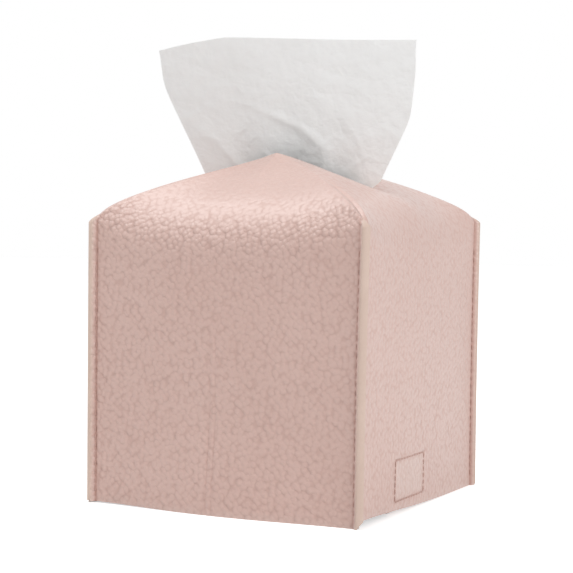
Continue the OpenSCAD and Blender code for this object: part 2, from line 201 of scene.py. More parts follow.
def wall_sheet(wall, at, columns, wall_cuts, roof_cuts, depth, hem_z):
    """Rows of points of the half of a wall that ends at a corner, and its roof: upright to the fold, and from
    there a cubic curve of four control points for each column, up to the slit's edge. The control points
    follow from the wall's plan and the slit's."""
    share, turn, reach = (column[None, :] for column in columns)
    t = np.concatenate([np.zeros(len(wall_cuts)), roof_cuts])[:, None]
    up = np.concatenate([wall_cuts, np.ones(len(roof_cuts))])[:, None]
    pinch = 1 - ease(t / dart_share)
    hip_round = hip_round_low + (hip_round_high - hip_round_low) * ease(t / hip_round_share)
    x, y = wall_plan(share, turn, reach, depth, pinch, hip_round)
    gone = (turn + reach) / 2
    lip_x, lip_y = slit_edge(wall, lip_share * share + (1 - lip_share) * gone)
    corner = share ** 3
    even = wall % 2 == 0
    along_slit = lip_x if even else lip_y
    lip_z = peak_z - slit_drop * (np.abs(along_slit) / slit_half_l) ** lip_fall
    fold = mixed(fold_z, seam_top_zs[at], corner)
    rise = mixed((peak_z - fold_z) * wall_rise_share, (peak_z - seam_top_zs[at]) * hip_rise_shares[at],
                 corner)
    reach_in = mixed(front_reach_share if even else side_reach_share, hip_reach_shares[at], corner)
    fall = mixed(front_fall_share if even else side_fall_share, hip_fall_share, corner)
    lean = hip_lean * corner
    second_z = fold + rise - depth * second_depth_share
    third_z = lip_z - (lip_z - fold - rise) * fall - depth * third_depth_share
    base_z = fold - tip_drops[at] * ease(gone)
    a, b, c, d = (1 - t) ** 3, 3 * t * (1 - t) ** 2, 3 * t * t * (1 - t), t ** 3
    px = a * x + b * (x - lean) + c * (lip_x + (x - lip_x) * reach_in) + d * lip_x
    py = a * y + b * (y - lean) + c * (lip_y + (y - lip_y) * reach_in) + d * lip_y
    pz = a * base_z + b * second_z + c * third_z + d * (lip_z - depth)
    pz = np.where(t > 0, pz, hem_z + (base_z - hem_z) * up)
    return px, py, pz


def placed(wall, x, y, z):
    """Turns a wall's own plan to its place: wall 0 is the front one and wall 1 the right-hand one."""
    angle = wall * np.pi / 2
    return np.stack([x * np.cos(angle) + y * np.sin(angle), x * np.sin(angle) - y * np.cos(angle), z], -1)


def swell_at(wall, share, height):
    """How far a wall's face stands out of its flat plan, at a signed share of its half width and a height."""
    up = np.clip(height / fold_z, 0, 1)
    across = (1 - np.clip(share, -1, 1) ** 2) ** 2
    wave = np.sin(5.3 * share + 3.1 * up) * np.sin(2.2 + 7.4 * up - 2.6 * share)
    bow = hem_bows[wall] * across * (1 - ease(height / hem_bow_reach))
    return bow + (wall_swell * across + wall_wave * wave * (1 - share ** 8)) * np.sin(np.pi * up)


def sway_at(corner, height):
    """How far a corner sways at a height: its hem's sway fades out upwards, and its top's fades out down the
    seam and up the roof."""
    up = np.clip(height / seam_top_zs[corner], 0, 1)
    roof = np.clip((peak_z - height) / (peak_z - seam_top_zs[corner]), 0, 1)
    return (sways_top[corner] * up ** 2.5 + sways_hem[corner] * (1 - up) ** 1.5) * roof


def groove_at(share, height):
    """How deep the two storage grooves are, from 0 to 1: they fade out towards the fold."""
    from_middle = share * half - groove_off
    low_part = 1 - ease((height / fold_z - groove_full_share) / groove_fade_share)
    return low_part * sum(bump_at(from_middle, side * groove_apart, groove_w) for side in (-1, 1))


def sheet_rows(wall_count, dart_count, roof_count):
    """Shares of a wall's height and of the roof, close where the darts run out, and the row of their end."""
    walls = np.linspace(0, 1, wall_count)[:-1]
    darts, rest = np.linspace(0, dart_share, dart_count), np.linspace(dart_share, 1, roof_count)[1:]
    return walls, np.concatenate([darts, rest]), len(walls) + dart_count - 1


def whole_sheet(columns, wall_cuts, roof_cuts, depth, hem_z):
    """Points of the four walls and the roof: rows, walls, columns and the three coordinates."""
    share = both_halves(-columns[0], columns[0])
    walls = []
    for wall in range(4):
        x, y, z = (both_halves(left, right) for left, right in zip(
            wall_sheet(wall, wall - 1, columns, wall_cuts, roof_cuts, depth, hem_z),
            wall_sheet(wall, wall, columns, wall_cuts, roof_cuts, depth, hem_z)))
        x[:, :len(columns[0]) - 1] *= -1
        grooved = groove_depth if depth == 0 and wall % 2 == 0 else 0
        y = y + swell_at(wall, share, z) - grooved * groove_at(share, z)
        for at_wall, side, lift, lift_share in hem_lifts:
            if at_wall == wall:
                z = z + lift * bump_at(share, side, lift_share) * (1 - ease(z / hem_lift_reach))
        sway = (sway_at(wall - 1, z) * bump_at(share, -1, sway_share)
                + sway_at(wall, z) * bump_at(share, 1, sway_share))
        walls.append(placed(wall, x, y, z) + sway[..., None] * sway_way)
    return np.stack(walls, 1)


def new_piece(name, points, faces, smooth_angle=40):
    """A mesh object from points and faces, smooth but for edges sharper than smooth_angle."""
    data = bpy.data.meshes.new(name)
    data.from_pydata(points.tolist(), [], faces if isinstance(faces, list) else faces.tolist())
    data.validate()
    data.shade_smooth()
    data.set_sharp_from_angle(angle=np.radians(smooth_angle))
    made = bpy.data.objects.new(name, data)
    bpy.context.scene.collection.objects.link(made)
    return made


def quads(*corners):
    """Faces from the point numbers at their four corners."""
    return np.stack(corners, -1).reshape(-1, 4)


def band(first, second):
    """Faces between two sets of rows, with the point numbers along their last axis."""
    return quads(first[..., :-1], first[..., 1:], second[..., 1:], second[..., :-1])


def sheet_mesh(name, outer, inner, dart_row):
    """A closed sheet between two point grids. Above dart_row neighbouring walls share their last column."""
    rows, walls, cols = outer.shape[:3]
    index = np.arange(2 * rows * walls * cols).reshape(2, rows, walls, cols)
    index[:, dart_row:, :, -1] = np.roll(index[:, dart_row:, :, 0], -1, axis=2)
    outside, inside = index
    start, end = index[:, :dart_row + 1, :, 0], index[:, :dart_row + 1, :, -1]
    faces = np.concatenate([
        band(outside[:-1], outside[1:]), band(inside[1:], inside[:-1]),
        band(inside[0], outside[0]), band(outside[-1], inside[-1]),
        quads(start[1, :-1], start[0, :-1], start[0, 1:], start[1, 1:]),
        quads(end[0, :-1], end[1, :-1], end[1, 1:], end[0, 1:])])
    points = np.concatenate([outer.reshape(-1, 3), inner.reshape(-1, 3)])
    used, packed = np.unique(faces, return_inverse=True)
    return new_piece(name, points[used], packed.reshape(-1, 4)), used


def dress(piece, body, slot, material, *stands_for):
    """Gives a new piece its material, its body and the nodes that it stands for; its slot is not used."""
    piece.data.materials.clear()
    piece.data.materials.append(material)
    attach(piece, body)
    if stands_for:
        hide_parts(*stands_for)


# Columns stand closest where the storage grooves are
grooved_share = 0.095
fine_columns = sheet_columns(np.concatenate([
    np.linspace(0, grooved_share, 16), np.linspace(grooved_share, 0.9, 26)[1:],
    [0.93, 0.955, 0.975, 0.99, 1]]), 5, 5)
fine_walls, fine_roof, fine_dart_row = sheet_rows(34, 16, 40)
fine_cuts = (fine_columns, fine_walls, fine_roof)
outer_face, inner_face = whole_sheet(*fine_cuts, 0.0, 0.0), whole_sheet(*fine_cuts, leather_t, 0.0)
leather_sheet, used_points = sheet_mesh("leather_sheet", outer_face, inner_face, fine_dart_row)

column_share = both_halves(-fine_columns[0], fine_columns[0])
column_reach = both_halves(fine_columns[2], fine_columns[2])
row_t = np.concatenate([np.zeros(len(fine_walls)), fine_roof])
seam_rows = (1 - ease(row_t / dart_share))[:, None]
height_grid = outer_face[:, 0, :, 2]
# At each wall's left and right end: how far out along the flange the painted shade in the crease runs,
# and how dark it is. The storage grooves get painted shade too. Edge paint laps over the flange from a
# share on, and the grain wears smooth along the slit and the hem.
crease_reach_shares = np.array([[0.3, 0.25], [0.2, 0.75], [0.75, 0.5], [0.5, 0.3]])
crease_tones = np.array([[1.0, 0.55], [0.4, 1.0], [1.0, 1.0], [1.0, 1.0]])
crease_w_share, groove_shade, paint_lap_share = 0.006, 0.08, 0.3
lip_wear_share, hem_wear = 1 / 22, 1.2 * mm


def by_end(pairs):
    """Spreads each wall's left and right value over the wall's columns."""
    on_right = (np.arange(len(column_share)) > len(column_share) // 2)[None, :]
    return np.where(on_right, pairs[:, 1:], pairs[:, :1])


# Painted shade down each seam's crease and in the front and back walls' storage grooves
crease_end = (by_end(crease_tones) * bump_at(np.abs(column_share), 1, crease_w_share)
              * (1 - ease(column_reach / by_end(crease_reach_shares))))
groove_shades = groove_shade * np.array([1, 0, 1, 0])[:, None]
crease_here = seam_rows[..., None] * crease_end + groove_shades * groove_at(column_share, height_grid)[:, None]
lap_here = seam_rows * ease((column_reach - paint_lap_share) / (1 - paint_lap_share))
rim_here = np.maximum(np.exp((row_t[:, None] - 1) / lip_wear_share), np.exp(-height_grid / hem_wear))
# How strongly the grain, and the painted shade in its valleys, stand out: full on the walls, drawn up
# where the front and back bend into the roof, and pulled flat towards the slit
wall_grains = np.array([3.0, 1.2, 3.0, 1.8])[:, None]
bend_grains = np.array([0.6, 0.0, 0.6, 0.0])[:, None]
roof_grain, roof_grain_from, roof_grain_over = 0.65, 0.08, 0.3
bend_up, bend_reach = 6 * mm, 10 * mm
bend_z = mixed(fold_z, seam_top_zs[0], np.abs(column_share) ** 3) + bend_up
bend_here = bump_at(height_grid, bend_z, bend_reach)
grain_here = (mixed(wall_grains, roof_grain, ease((row_t - roof_grain_from) / roof_grain_over)[:, None, None])
              + bend_here[:, None, :] * bend_grains)

# Each grid of rows, walls and columns is spread over both faces of the sheet, in the
# order of the mesh's points, and stored there for the material to read
for name, grid in (("crease", crease_here), ("lap", lap_here[:, None]), ("rim", rim_here[:, None]),
                   ("grain", grain_here)):
    one_face = np.broadcast_to(grid, outer_face.shape[:3]).ravel()
    layer = leather_sheet.data.attributes.new(name, "FLOAT", "POINT")
    layer.data.foreach_set("value", np.tile(one_face, 2)[used_points].astype(np.float32))


def feed(tree, made, sockets):
    """Sets a node's input sockets by name or number, and links those whose value is another node's socket."""
    for key, value in sockets.items():
        if isinstance(value, bpy.types.NodeSocket):
            tree.links.new(value, made.inputs[key])
        else:
            made.inputs[key].default_value = value


def node(tree, kind, sockets, **settings):
    """Adds a shader node, sets its options and feeds its input sockets."""
    made = tree.nodes.new("ShaderNode" + kind)
    for key, value in settings.items():
        setattr(made, key, value)
    feed(tree, made, sockets)
    return made


def maths(tree, operation, *values):
    """One Math node's output."""
    return node(tree, "Math", dict(enumerate(values)), operation=operation).outputs[0]


def times(tree, value, by):
    """A value times another."""
    return maths(tree, "MULTIPLY", value, by)


def plus(tree, value, *others):
    """A value plus each of the others times its weight."""
    for other, weight in others:
        value = maths(tree, "ADD", value, times(tree, other, weight))
    return value


def vector_maths(tree, operation, first, second):
    """One Vector Math node's output. Its second input is a factor where the vector is scaled."""
    second_socket = "Scale" if operation == "SCALE" else 1
    return node(tree, "VectorMath", {0: first, second_socket: second}, operation=operation).outputs[0]


def spread(tree, value, zero_at, one_at, how="SMOOTHSTEP"):
    """0 to 1 as a value goes from one bound to the other, eased at both ends unless it is told how."""
    return node(tree, "MapRange", {"Value": value, "From Min": zero_at, "From Max": one_at},
                interpolation_type=how).outputs[0]


def blend_colour(tree, factor, first, second, mode="MIX"):
    """One colour Mix node's output."""
    return node(tree, "Mix", {0: factor, 6: first, 7: second}, data_type="RGBA", blend_type=mode).outputs[2]


def noise(tree, place, scale, detail=2.0, output=0):
    """One noise texture's output: a value, or a colour where the second one is asked for."""
    return node(tree, "TexNoise", {"Vector": place, "Scale": scale, "Detail": detail}).outputs[output]


def turned(tree, place, turn=(0, 0, 0), stretch=(1, 1, 1)):
    """A place that is scaled along each axis and then turned."""
    return node(tree, "Mapping", {"Vector": place, "Rotation": turn, "Scale": stretch}).outputs[0]


def warped(tree, place, scale, reach, middle):
    """A place that noise moves about, by the reach times how far the noise lies from its middle."""
    wander = vector_maths(tree, "SUBTRACT", noise(tree, place, scale, output=1), (middle,) * 3)
    return vector_maths(tree, "ADD", place, vector_maths(tree, "SCALE", wander, reach))


def new_group(name, inputs, outputs):
    """An empty node group. Inputs are given as name: (socket kind, default), and outputs as name: kind."""
    tree = bpy.data.node_groups.new(name, "ShaderNodeTree")
    for label, (kind, default) in inputs.items():
        socket = tree.interface.new_socket(label, in_out="INPUT", socket_type="NodeSocket" + kind)
        if default is not None:
            socket.default_value = default
    for label, kind in outputs.items():
        tree.interface.new_socket(label, in_out="OUTPUT", socket_type="NodeSocket" + kind)
    return tree, tree.nodes.new("NodeGroupInput").outputs, tree.nodes.new("NodeGroupOutput").inputs


def placed_group(tree, group, **sockets):
    """Puts a node group in a material. Input names are given with underscores for spaces."""
    made = tree.nodes.new("ShaderNodeGroup")
    made.node_tree = group
    feed(tree, made, {key.replace("_", " "): value for key, value in sockets.items()})
    return made.outputs


def new_material(name, roughness, **shader_values):
    """A material with one Principled shader, whose plain values are set on its own sockets."""
    made = bpy.data.materials.new(name)
    made.use_nodes = True
    shader = made.node_tree.nodes["Principled BSDF"]
    shader.inputs["Roughness"].default_value = roughness
    for key, value in shader_values.items():
        shader.inputs[key.replace("_", " ")].default_value = value
    return made, made.node_tree, shader


def finish_shader(tree, shader, colour, height, depth, roughness=None):
    """Links a colour, a bump of the given depth and a varying roughness to the shader."""
    bump = node(tree, "Bump", {"Strength": 1.0, "Distance": depth, "Height": height}).outputs[0]
    feed(tree, shader, {"Base Color": colour, "Normal": bump})
    if roughness is not None:
        feed(tree, shader, {"Roughness": roughness})


def object_place(tree):
    """The point's own place on the object, in metres."""
    return node(tree, "TexCoord", {}).outputs["Object"]


def attribute(tree, name):
    """A number that was painted on the piece's points."""
    return node(tree, "Attribute", {}, attribute_name=name).outputs["Fac"]


# The pebbles' loose lattice: how it is turned, so that no row runs along a wall, how far
# noise moves it, how uneven and how soft it is, and what lies on top of the domes
pebble_turns = (0.6, 0.5, 0.8)
pebble_warp, pebble_scatter, pebble_softness = 0.4, 0.65, 0.35
bead_scale, bead_height, fine_scale, fine_height = 2.3, 0.12, 9.0, 0.08
valley_from, valley_to = 0.85, 0.45


def make_pebble_grain():
    """Pebbled grain: cells of about one pebble's size, warped by noise. The distance d to a cell's middle
    gives a round dome of height 1 - d squared, with a valley where cells meet, and finer cells and noise
    lie on top."""
    tree, given, out = new_group("pebble_grain", {"Place": ("Vector", None), "Pebble": ("Float", 2 * mm)},
                                 {"Height": "Float", "Valleys": "Float"})
    scale = maths(tree, "DIVIDE", 1.0, given["Pebble"])
    place = warped(tree, given["Place"], scale, times(tree, given["Pebble"], pebble_warp), 0.5)
    place = turned(tree, place, pebble_turns)
    domes = []
    for finer in (1.0, bead_scale):
        cells = node(tree, "TexVoronoi", {
            "Vector": place, "Scale": times(tree, scale, finer), "Smoothness": pebble_softness,
            "Randomness": pebble_scatter}, feature="SMOOTH_F1").outputs["Distance"]
        domes.append(maths(tree, "SUBTRACT", 1.0, maths(tree, "POWER", cells, 2.0)))
    dome, bead = domes
    fine = noise(tree, given["Place"], times(tree, scale, fine_scale), 3.0)
    tree.links.new(plus(tree, dome, (bead, bead_height), (fine, fine_height)), out["Height"])
    tree.links.new(spread(tree, dome, valley_from, valley_to), out["Valleys"])
    return tree


# Slow change of tone: how much finer and how strong the mottle is, and between which
# values the noise goes from one colour to the other
mottle_finer, mottle_share, drift_from, drift_to = 14.0, 0.25, 0.35, 0.65


def make_tone_drift():
    """Slow change of tone over a surface: broad noise mixes two colours, and finer noise mottles them."""
    tree, given, out = new_group(
        "tone_drift", {"Place": ("Vector", None), "Colour": ("Color", (0.8, 0.8, 0.8, 1)),
                       "Other": ("Color", (0.7, 0.7, 0.7, 1)), "Size": ("Float", 40 * mm)},
        {"Colour": "Color"})
    scale = maths(tree, "DIVIDE", 1.0, given["Size"])
    broad = noise(tree, given["Place"], scale, 3.0)
    mottle = noise(tree, given["Place"], times(tree, scale, mottle_finer))
    both = plus(tree, times(tree, broad, 1 - mottle_share), (mottle, mottle_share))
    share = spread(tree, both, drift_from, drift_to, "LINEAR")
    tree.links.new(blend_colour(tree, share, given["Colour"], given["Other"]), out["Colour"])
    return tree


# How a pressed oblong fades off its wall, and how wide the edge of its patch is
off_wall_share, patch_edge = 0.1, 2.5 * mm


def make_pressed_oblong():
    """The groove that a stitched oblong presses into a wall square to X, 1 on the line and 0 away from
    it, and the patch inside it."""
    tree, given, out = new_group(
        "pressed_oblong", {"Place": ("Vector", None), "Middle": ("Vector", (0.06, 0, 0.01)),
                           "Half Width": ("Float", 10 * mm), "Half Height": ("Float", 10 * mm),
                           "Line": ("Float", 0.6 * mm)},
        {"Groove": "Float", "Patch": "Float"})
    from_middle = vector_maths(tree, "SUBTRACT", given["Place"], given["Middle"])
    x, y, z = (maths(tree, "ABSOLUTE", way) for way in node(tree, "SeparateXYZ", {0: from_middle}).outputs)
    past_line = maths(tree, "MAXIMUM", maths(tree, "SUBTRACT", y, given["Half Width"]),
                      maths(tree, "SUBTRACT", z, given["Half Height"]))
    off_wall = times(tree, x, off_wall_share)
    tree.links.new(spread(tree, maths(tree, "ADD", past_line, off_wall), 0.0, -patch_edge), out["Patch"])
    off_line = maths(tree, "ADD", maths(tree, "ABSOLUTE", past_line), off_wall)
    tree.links.new(spread(tree, maths(tree, "DIVIDE", off_line, given["Line"]), 1.0, 0.0), out["Groove"])
    return tree


pebble_grain = make_pebble_grain()
tone_drift = make_tone_drift()
pressed_oblong = make_pressed_oblong()


def drifting(tree, place, colour, other, size):
    """A colour that drifts to another over the surface, in patches of about the given size."""
    return placed_group(tree, tone_drift, Place=place, Colour=colour, Other=other, Size=size)["Colour"]


# Colours of the pink leather: its pebbles, where they fade, the painted shade in their valleys, the
# painted shade down in a crease, and where the grain wears smooth
leather_colour = (0.705, 0.484, 0.425, 1)
leather_other = (0.680, 0.457, 0.398, 1)
valley_shade_colour = (0.560, 0.350, 0.300, 1)
leather_crease = (0.450, 0.235, 0.185, 1)
leather_worn = (0.770, 0.600, 0.540, 1)
edge_colour, edge_other = (0.730, 0.565, 0.480, 1), (0.680, 0.515, 0.435, 1)
leather_pebble, grain_depth, leather_drift = 2.1 * mm, 0.27 * mm, 45 * mm
leather_roughness, valley_roughness = 0.30, 0.25
least_grain, valley_shade_share = 0.4, 0.14
# How much each mark takes the leather's colour towards another, in turn; the crease one is painted shade
painted_marks = [("rim", 0.35, leather_worn), ("lap", 0.8, edge_colour), ("crease", 0.75, leather_crease)]

# The stitched oblongs on the right-hand and left-hand walls, which hold the belt
oblong_half_w, oblong_half_h = 15.3 * mm, 8.5 * mm
oblong_y = -12.6 * mm
oblong_z = {1: 13.9 * mm, -1: 16.5 * mm}
# The pressed groove's line and depth, the painted shade in it, and how much paler its patch is
pressed_line, pressed_depth_share, pressed_shade, patch_tone = 0.9 * mm, 0.6, 0.15, 0.45


def make_pebbled_leather(name, pebble, depth, pressed_sides):
    """Pebbled leather: domed pebbles with painted shade in their valleys, painted shade down in the creases
    and grooves, paler where it wears at the rims, drawn up into stronger pebbles on the bends, and satin."""
    made, tree, shader = new_material(name, 0.42, Specular_IOR_Level=0.75, Sheen_Weight=0.24,
                                      Sheen_Roughness=0.5)
    place = object_place(tree)
    grain = placed_group(tree, pebble_grain, Place=place, Pebble=pebble)
    strength = maths(tree, "MAXIMUM", attribute(tree, "grain"), least_grain)
    height = times(tree, grain["Height"], strength)
    # Painted shade in the pebbles' valleys, as strong as the grain there
    marks = [(times(tree, grain["Valleys"], strength), valley_shade_share, valley_shade_colour)]
    marks += [(attribute(tree, mark), share, tone) for mark, share, tone in painted_marks]
    for side in pressed_sides:
        pressed = placed_group(tree, pressed_oblong, Place=place, Half_Width=oblong_half_w,
                               Half_Height=oblong_half_h, Line=pressed_line,
                               Middle=(side * half, oblong_y, oblong_z[side]))
        height = plus(tree, height, (pressed["Groove"], -pressed_depth_share))
        # Painted shade in the pressed groove, and a paler patch inside it
        marks += [(pressed["Patch"], patch_tone, leather_worn),
                  (pressed["Groove"], pressed_shade, leather_crease)]
    colour = drifting(tree, place, leather_colour, leather_other, leather_drift)
    for mask, share, tone in marks:
        colour = blend_colour(tree, times(tree, mask, share), colour, tone)
    roughness = plus(tree, leather_roughness, (grain["Valleys"], valley_roughness))
    finish_shader(tree, shader, colour, height, depth, roughness)
    return made


pebbled_leather = make_pebbled_leather("pebbled_leather", leather_pebble, grain_depth, (1, -1))
dress(leather_sheet, "cover", "pebbled_leather", pebbled_leather, "outer_leather")

# The lining is a thin sheet of brushed fabric, cut like the leather and held to
# it by the corner seams, the paint round the slit and a line of glue at the hem.
lining_columns = sheet_columns(np.linspace(0, 1, 22), 4, 2)
lining_walls, lining_roof, lining_dart_row = sheet_rows(18, 9, 24)
lining_cuts = (lining_columns, lining_walls, lining_roof)
lining_colour, lining_other = (0.640, 0.530, 0.470, 1), (0.560, 0.450, 0.390, 1)
lining_drift, lining_fibre = 22 * mm, 0.35 * mm
nap_depth, nap_stretch, nap_tone = 0.08 * mm, 0.18, 0.35


def make_brushed_fabric(name, colour, other, fibre, depth):
    """Brushed cloth: short fibres from noise drawn out sideways and upright, over a slow change of tone."""
    made, tree, shader = new_material(name, 0.9, Sheen_Weight=0.3, Sheen_Roughness=0.6,
                                      Specular_IOR_Level=0.2)
    place = object_place(tree)
    strands = [noise(tree, turned(tree, place, stretch=stretch), 1 / fibre, 4.0)
               for stretch in ((1, 1, nap_stretch), (nap_stretch, nap_stretch, 1))]
    nap = maths(tree, "MAXIMUM", *strands)
    drifted = drifting(tree, place, colour, other, lining_drift)
    napped = blend_colour(tree, times(tree, nap, nap_tone), drifted, other, "MULTIPLY")
    finish_shader(tree, shader, napped, nap, depth)
    return made


lining_faces = [whole_sheet(*lining_cuts, depth, hem_lift) for depth in (lining_d, wall_t)]
lining_sheet = sheet_mesh("lining_sheet", *lining_faces, lining_dart_row)[0]
lining_fabric = make_brushed_fabric("lining_fabric", lining_colour, lining_other, lining_fibre, nap_depth)
dress(lining_sheet, "cover", "lining_fabric", lining_fabric, "lining")

# Edge paint closes every raw edge: a soft rounded bead of pinkish beige paint,
# put on in coats, round the slit and down the tips of the four corner seams.
bead_turn = np.linspace(0, np.pi, 13)
bead_width_share, bead_fullness, bead_depth = 1.04, 0.75, 0.95 * mm
bead_across, bead_rise = -np.cos(bead_turn) * bead_width_share, np.sin(bead_turn) ** bead_fullness
paint_drift, coat_scale, coat_depth, paint_roughness, coat_roughness = 14 * mm, 900.0, 0.05 * mm, 0.34, 0.2


def tube_faces(index):
    """Faces along tubes, from the point numbers of their rings. The last axis goes round, and the one
    before it along."""
    beside = np.roll(index, -1, axis=-1)
    return quads(index[..., :-1, :], beside[..., :-1, :], beside[..., 1:, :], index[..., 1:, :]).tolist()


def swept_rings(name, rings, closed):
    """A tube through rings of points, joined to its start or capped at its ends."""
    count, around = rings.shape[:2]
    index = np.arange(count * around).reshape(count, around)
    if closed:
        faces = tube_faces(np.concatenate([index, index[:1]]))
    else:
        faces = tube_faces(index) + [index[0, ::-1].tolist(), index[-1].tolist()]
    return new_piece(name, rings.reshape(-1, 3), faces, 50)


def swept_bead(name, tops, lows, outs, closed):
    """A rounded bead along the raw edge between two lines of points, which narrows where the edge does."""
    half_width = (lows - tops) / 2
    narrow = np.minimum(1, np.linalg.norm(half_width, axis=1) / (wall_t / 2)) ** 0.5
    rings = ((tops + lows)[:, None] / 2 + half_width[:, None] * bead_across[:, None]
             + outs[:, None] * (narrow[:, None] * bead_depth * bead_rise)[..., None])
    return swept_rings(name, rings, closed)


def unit(vectors):
    """Vectors of length one."""
    return vectors / np.maximum(np.linalg.norm(vectors, axis=-1, keepdims=True), 1e-12)


def make_edge_paint():
    """Edge paint: a slightly uneven, satin, pinkish beige coat."""
    made, tree, shader = new_material("edge_paint", 0.38, Specular_IOR_Level=0.35)
    place = object_place(tree)
    coats = noise(tree, place, coat_scale, 3.0)
    colour = drifting(tree, place, edge_colour, edge_other, paint_drift)
    roughness = plus(tree, paint_roughness, (coats, coat_roughness))
    finish_shader(tree, shader, colour, coats, coat_depth, roughness)
    return made


edge_paint = make_edge_paint()
lip_top = outer_face[-1, :, :-1].reshape(-1, 3)
lip_low = whole_sheet(*fine_cuts, wall_t, 0.0)[-1, :, :-1].reshape(-1, 3)
lip_run = np.roll(lip_top, -1, axis=0) - np.roll(lip_top, 1, axis=0)
lip_in = unit(np.cross(np.array([0.0, 0, 1]), lip_run))
slit_bead = swept_bead("slit_edge_paint", lip_top, lip_low, lip_in, True)
dress(slit_bead, "cover", "edge_paint", edge_paint, "opening_edging")

corners = ["front_right", "back_right", "back_left", "front_left"]


def outward_at(corner):
    """The way that a corner's seam stands out."""
    return placed(corner, 1, 1, 0) / root2


for j, corner in enumerate(corners):
    tips = [outer_face[:fine_dart_row, wall % 4, column].copy() for wall, column in ((j, -1), (j + 1, 0))]
    for tip in tips:
        tip[0, 2] += hem_lift
    outs = np.repeat(outward_at(j)[None], fine_dart_row, axis=0)
    dress(swept_bead(f"seam_edge_paint_{corner}", *tips, outs, False), "cover", "edge_paint", edge_paint,
          f"corner_edging_{corner}")

# Sewing thread: two rows of running stitches through each pinched seam, and the
# stitched oblongs outside the two side walls. Every stitch is a short length of
# twisted thread that rises out of the leather and dives in again.
thread_r = 0.26 * mm
seam_stitch, seam_pitch = 2.5 * mm, 3.6 * mm
seam_stitch_low, seam_stitch_high = 4.8 * mm, 108 * mm
# Where the seam's stitches lie between its root and its tip; how one stitch runs, in
# shares of its length, and rises, in thread radii
stitch_line_share = 0.1
stitch_run = np.array([0, 0.03, 0.14, 0.5, 0.86, 0.97, 1])
stitch_rise = np.array([-1.8, -0.3, 0.5, 0.8, 0.5, -0.3, -1.8])
thread_colour, thread_other = (0.640, 0.415, 0.360, 1), (0.590, 0.370, 0.315, 1)
thread_shade, thread_shade_share = (0.50, 0.30, 0.25, 1), 0.35
thread_drift, thread_twist, twist_depth = 9 * mm, 700.0, 0.08 * mm


def small_tubes(paths, sides, radius, around=6):
    """Points and faces of many short tubes. Each path lies in one plane, square to its side vector."""
    count, steps = paths.shape[:2]
    run = unit(np.gradient(paths, axis=1))
    side = unit(sides)[:, None].repeat(steps, axis=1)
    up = np.cross(side, run)
    turn = np.linspace(0, 2 * np.pi, around, endpoint=False)
    points = paths[:, :, None] + radius * (side[:, :, None] * np.cos(turn)[:, None]
                                           + up[:, :, None] * np.sin(turn)[:, None])
    index = np.arange(count * steps * around).reshape(count, steps, around)
    return points.reshape(-1, 3), tube_faces(index) + index[:, 0, ::-1].tolist() + index[:, -1].tolist()


def stitches(name, starts, ends, outs):
    """One piece of many stitches, each from a start to an end point on a face whose way out is given."""
    along = (ends - starts)[:, None] * stitch_run[:, None]
    paths = starts[:, None] + along + outs[:, None] * (thread_r * stitch_rise)[:, None]
    return new_piece(name, *small_tubes(paths, np.cross(outs, unit(ends - starts)), thread_r), 60)


def make_sewing_thread():
    """Three-ply sewing thread: fine slanting bands of twist, and a few stray fibres' roughness."""
    made, tree, shader = new_material("sewing_thread", 0.7, Sheen_Weight=0.3, Specular_IOR_Level=0.25)
    place = object_place(tree)
    colour = drifting(tree, place, thread_colour, thread_other, thread_drift)
    twist = node(tree, "TexWave", {"Vector": place, "Scale": thread_twist, "Distortion": 1.5},
                 bands_direction="DIAGONAL").outputs["Fac"]
    shaded = blend_colour(tree, times(tree, twist, thread_shade_share), colour, thread_shade)
    finish_shader(tree, shader, shaded, twist, twist_depth)
    return made


sewing_thread = make_sewing_thread()
seam_root_r = half * root2 - seam_half_t * skived_share
seam_line_r = seam_root_r + (seam_tip_r - seam_root_r) * stitch_line_share
seam_levels = np.arange(seam_stitch_low, seam_stitch_high, seam_pitch)
for j, corner in enumerate(corners):
    across = np.cross(outward_at(j), [0, 0, 1])
    line = (outward_at(j) * seam_line_r + seam_levels[:, None] * np.array([0, 0, 1.0])
            + sway_at(j, seam_levels)[:, None] * sway_way)
    starts = np.concatenate([line + across * face * seam_half_t * skived_share for face in (-1, 1)])
    outs = np.repeat([-across, across], len(seam_levels), axis=0)
    seam_row = stitches(f"seam_stitches_{corner}", starts, starts + [0, 0, seam_stitch], outs)
    dress(seam_row, "cover", "sewing_thread", sewing_thread, f"corner_stitching_{corner}")

oblong_pitch, stitch_gap, stitch_sink = 2.9 * mm, 0.7 * mm, 0.12 * mm


def run_of_stitches(start, end):
    """Start and end points of the stitches along a straight line, evenly spaced."""
    length = np.linalg.norm(end - start)
    count = max(1, round(length / oblong_pitch))
    step = (end - start) / count
    gap = step / np.linalg.norm(step) * stitch_gap / 2
    starts = start + step * np.arange(count)[:, None]
    return starts + gap, starts + step - gap


def oblong_stitches(middle, half_wide, half_high, wide_axis, high_axis):
    """Start and end points of the stitches round an oblong."""
    wide, high = np.array(wide_axis, float) * half_wide, np.array(high_axis, float) * half_high
    turns = [middle - wide - high, middle + wide - high, middle + wide + high, middle - wide + high]
    runs = [run_of_stitches(start, end) for start, end in zip(turns, turns[1:] + turns[:1])]
    return [np.concatenate(points) for points in zip(*runs)]


for side, name in ((1, "right"), (-1, "left")):
    middle = np.array([side * half, oblong_y, oblong_z[side]])
    ends = oblong_stitches(middle, oblong_half_w, oblong_half_h, (0, 1, 0), (0, 0, 1))
    for points in ends:
        swell = swell_at(2 - side, side * points[:, 1] / half, points[:, 2])
        points[:, 0] += side * (swell - stitch_sink)
    outs = np.repeat([[float(side), 0, 0]], len(ends[0]), axis=0)
    dress(stitches(f"oblong_stitches_{name}", *ends, outs), "cover", "sewing_thread", sewing_thread,
          f"box_stitching_{name}")

# The belt crosses the open base in two straps that lap in the middle. Each is
# sewn inside a side wall, turns in through a live fold and is cut round at its
# free end; its raw edges are rounded and painted in the leather's own tone.
belt_pebble, belt_grain_depth = 1.7 * mm, 0.16 * mm
belt_leather = make_pebbled_leather("belt_leather", belt_pebble, belt_grain_depth, ())
strap_round_share = 0.25
small_round = 0.7 * mm


